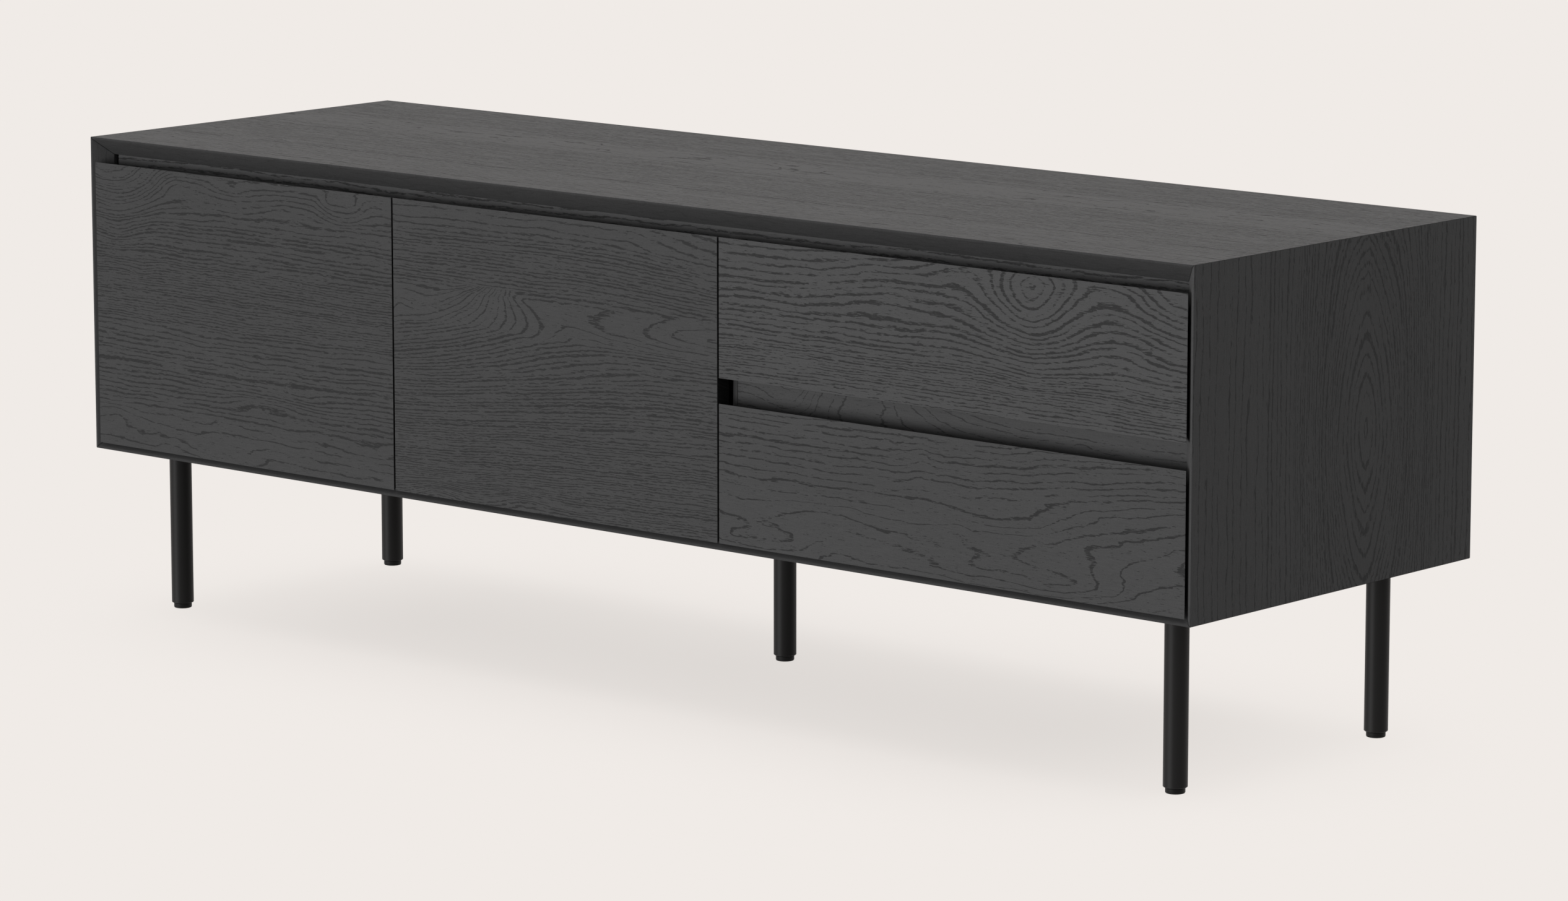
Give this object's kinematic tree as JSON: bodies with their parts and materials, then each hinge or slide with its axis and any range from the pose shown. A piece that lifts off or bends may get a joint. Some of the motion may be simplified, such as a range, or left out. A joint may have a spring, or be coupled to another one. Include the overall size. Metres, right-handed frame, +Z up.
{
  "type": "low sideboard with doors and drawers",
  "caption": "Low sideboard on round tube legs: black-stained oak case with mitred bevelled edges, hinged doors over a shelf and full-extension drawers with finger grips.",
  "frame": {"origin": "on the floor, under the middle of the case", "axes": "+X to the right along the front, +Y from the front to the back, +Z up"},
  "size_m": [1.5, 0.456, 0.521],
  "materials": {
    "stained_oak": "black-stained oak veneer, satin, with darker broken growth lines",
    "inner_oak": "black-stained oak veneer, matte",
    "back_board": "black-stained veneered board, matte",
    "drawer_box": "black-stained solid wood, matte",
    "leg_steel": "black powder coat, fine texture",
    "hinge_nickel": "nickel-plated pressed steel",
    "slide_zinc": "zinc-plated rolled steel",
    "foot_plastic": "black moulded plastic"
  },
  "bodies": {
    "case": {"top_panel": "stained_oak", "bottom_panel": "stained_oak", "left_side_panel": "stained_oak", "right_side_panel": "stained_oak", "partition": "inner_oak", "back_panel": "back_board", "top_rail": "stained_oak", "drawer_rail": "stained_oak", "shelf": "inner_oak", "front_left_leg": "leg_steel", "front_right_leg": "leg_steel", "rear_left_leg": "leg_steel", "rear_right_leg": "leg_steel", "middle_leg": "leg_steel", "left_door_lower_hinge_arm": "hinge_nickel", "left_door_upper_hinge_arm": "hinge_nickel", "middle_door_lower_hinge_arm": "hinge_nickel", "middle_door_upper_hinge_arm": "hinge_nickel", "upper_drawer_left_slide_outer_member": "slide_zinc", "upper_drawer_right_slide_outer_member": "slide_zinc", "lower_drawer_left_slide_outer_member": "slide_zinc", "lower_drawer_right_slide_outer_member": "slide_zinc"},
    "front_left_foot_body": {"front_left_foot": "foot_plastic"},
    "front_right_foot_body": {"front_right_foot": "foot_plastic"},
    "rear_left_foot_body": {"rear_left_foot": "foot_plastic"},
    "rear_right_foot_body": {"rear_right_foot": "foot_plastic"},
    "middle_foot_body": {"middle_foot": "foot_plastic"},
    "left_door_body": {"left_door": "stained_oak", "left_door_lower_hinge_cup": "hinge_nickel", "left_door_upper_hinge_cup": "hinge_nickel"},
    "left_door_lower_arm_link_body": {"left_door_lower_hinge_arm_link": "hinge_nickel"},
    "left_door_lower_cup_link_body": {"left_door_lower_hinge_cup_link": "hinge_nickel"},
    "left_door_upper_arm_link_body": {"left_door_upper_hinge_arm_link": "hinge_nickel"},
    "left_door_upper_cup_link_body": {"left_door_upper_hinge_cup_link": "hinge_nickel"},
    "middle_door_body": {"middle_door": "stained_oak", "middle_door_lower_hinge_cup": "hinge_nickel", "middle_door_upper_hinge_cup": "hinge_nickel"},
    "middle_door_lower_arm_link_body": {"middle_door_lower_hinge_arm_link": "hinge_nickel"},
    "middle_door_lower_cup_link_body": {"middle_door_lower_hinge_cup_link": "hinge_nickel"},
    "middle_door_upper_arm_link_body": {"middle_door_upper_hinge_arm_link": "hinge_nickel"},
    "middle_door_upper_cup_link_body": {"middle_door_upper_hinge_cup_link": "hinge_nickel"},
    "upper_drawer_body": {"upper_drawer_front": "stained_oak", "upper_drawer_left_side": "drawer_box", "upper_drawer_right_side": "drawer_box", "upper_drawer_back": "drawer_box", "upper_drawer_bottom": "drawer_box", "upper_drawer_left_slide_inner_member": "slide_zinc", "upper_drawer_right_slide_inner_member": "slide_zinc"},
    "upper_drawer_left_middle_member_body": {"upper_drawer_left_slide_middle_member": "slide_zinc"},
    "upper_drawer_right_middle_member_body": {"upper_drawer_right_slide_middle_member": "slide_zinc"},
    "lower_drawer_body": {"lower_drawer_front": "stained_oak", "lower_drawer_left_side": "drawer_box", "lower_drawer_right_side": "drawer_box", "lower_drawer_back": "drawer_box", "lower_drawer_bottom": "drawer_box", "lower_drawer_left_slide_inner_member": "slide_zinc", "lower_drawer_right_slide_inner_member": "slide_zinc"},
    "lower_drawer_left_middle_member_body": {"lower_drawer_left_slide_middle_member": "slide_zinc"},
    "lower_drawer_right_middle_member_body": {"lower_drawer_right_slide_middle_member": "slide_zinc"}
  },
  "joints": [
    {"name": "front_left_foot_turn", "type": "hinge", "parent": "case", "child": "front_left_foot_body", "pos_m": [-0.6855, -0.1635, 0], "axis": [0, 0, 1], "continuous": true},
    {"name": "front_right_foot_turn", "type": "hinge", "parent": "case", "child": "front_right_foot_body", "pos_m": [0.6855, -0.1635, 0], "axis": [0, 0, 1], "continuous": true},
    {"name": "rear_left_foot_turn", "type": "hinge", "parent": "case", "child": "rear_left_foot_body", "pos_m": [-0.6855, 0.1635, 0], "axis": [0, 0, 1], "continuous": true},
    {"name": "rear_right_foot_turn", "type": "hinge", "parent": "case", "child": "rear_right_foot_body", "pos_m": [0.6855, 0.1635, 0], "axis": [0, 0, 1], "continuous": true},
    {"name": "middle_foot_turn", "type": "hinge", "parent": "case", "child": "middle_foot_body", "pos_m": [0, 0.057, 0], "axis": [0, 0, 1], "continuous": true},
    {"name": "left_door_swing", "type": "hinge", "parent": "case", "child": "left_door_body", "pos_m": [-0.745, -0.229, 0.33985], "axis": [0, 0, -1], "range_deg": [0, 95]},
    {"name": "left_door_lower_arm_link_pivot", "type": "hinge", "parent": "case", "child": "left_door_lower_arm_link_body", "pos_m": [-0.719, -0.202, 0.25485], "axis": [0, 0, -1], "range_deg": [0, 95]},
    {"name": "left_door_lower_cup_link_pivot", "type": "hinge", "parent": "left_door_body", "child": "left_door_lower_cup_link_body", "pos_m": [-0.7023, -0.217, 0.25485], "axis": [0, 0, -1], "range_deg": [-95, 0]},
    {"name": "left_door_upper_arm_link_pivot", "type": "hinge", "parent": "case", "child": "left_door_upper_arm_link_body", "pos_m": [-0.719, -0.202, 0.42485], "axis": [0, 0, -1], "range_deg": [0, 95]},
    {"name": "left_door_upper_cup_link_pivot", "type": "hinge", "parent": "left_door_body", "child": "left_door_upper_cup_link_body", "pos_m": [-0.7023, -0.217, 0.42485], "axis": [0, 0, -1], "range_deg": [-95, 0]},
    {"name": "middle_door_swing", "type": "hinge", "parent": "case", "child": "middle_door_body", "pos_m": [0.1594, -0.229, 0.33985], "axis": [0, 0, 1], "range_deg": [0, 90]},
    {"name": "middle_door_lower_arm_link_pivot", "type": "hinge", "parent": "case", "child": "middle_door_lower_arm_link_body", "pos_m": [0.139, -0.202, 0.25485], "axis": [0, 0, 1], "range_deg": [0, 90]},
    {"name": "middle_door_lower_cup_link_pivot", "type": "hinge", "parent": "middle_door_body", "child": "middle_door_lower_cup_link_body", "pos_m": [0.128, -0.217, 0.25485], "axis": [0, 0, 1], "range_deg": [-90, 0]},
    {"name": "middle_door_upper_arm_link_pivot", "type": "hinge", "parent": "case", "child": "middle_door_upper_arm_link_body", "pos_m": [0.139, -0.202, 0.42485], "axis": [0, 0, 1], "range_deg": [0, 90]},
    {"name": "middle_door_upper_cup_link_pivot", "type": "hinge", "parent": "middle_door_body", "child": "middle_door_upper_cup_link_body", "pos_m": [0.128, -0.217, 0.42485], "axis": [0, 0, 1], "range_deg": [-90, 0]},
    {"name": "upper_drawer_slide", "type": "slide", "parent": "case", "child": "upper_drawer_body", "axis": [0, -1, 0], "range_m": [0, 0.35]},
    {"name": "upper_drawer_left_middle_slide", "type": "slide", "parent": "case", "child": "upper_drawer_left_middle_member_body", "axis": [0, -1, 0], "range_m": [0, 0.175]},
    {"name": "upper_drawer_right_middle_slide", "type": "slide", "parent": "case", "child": "upper_drawer_right_middle_member_body", "axis": [0, -1, 0], "range_m": [0, 0.175]},
    {"name": "lower_drawer_slide", "type": "slide", "parent": "case", "child": "lower_drawer_body", "axis": [0, -1, 0], "range_m": [0, 0.35]},
    {"name": "lower_drawer_left_middle_slide", "type": "slide", "parent": "case", "child": "lower_drawer_left_middle_member_body", "axis": [0, -1, 0], "range_m": [0, 0.175]},
    {"name": "lower_drawer_right_middle_slide", "type": "slide", "parent": "case", "child": "lower_drawer_right_middle_member_body", "axis": [0, -1, 0], "range_m": [0, 0.175]}
  ],
  "couplings": [
    {"joint": "left_door_lower_arm_link_pivot", "follows": "left_door_swing", "ratio": 1},
    {"joint": "left_door_lower_cup_link_pivot", "follows": "left_door_swing", "ratio": -1},
    {"joint": "left_door_upper_arm_link_pivot", "follows": "left_door_swing", "ratio": 1},
    {"joint": "left_door_upper_cup_link_pivot", "follows": "left_door_swing", "ratio": -1},
    {"joint": "middle_door_lower_arm_link_pivot", "follows": "middle_door_swing", "ratio": 1},
    {"joint": "middle_door_lower_cup_link_pivot", "follows": "middle_door_swing", "ratio": -1},
    {"joint": "middle_door_upper_arm_link_pivot", "follows": "middle_door_swing", "ratio": 1},
    {"joint": "middle_door_upper_cup_link_pivot", "follows": "middle_door_swing", "ratio": -1},
    {"joint": "upper_drawer_left_middle_slide", "follows": "upper_drawer_slide", "ratio": 0.5},
    {"joint": "upper_drawer_right_middle_slide", "follows": "upper_drawer_slide", "ratio": 0.5},
    {"joint": "lower_drawer_left_middle_slide", "follows": "lower_drawer_slide", "ratio": 0.5},
    {"joint": "lower_drawer_right_middle_slide", "follows": "lower_drawer_slide", "ratio": 0.5}
  ]
}
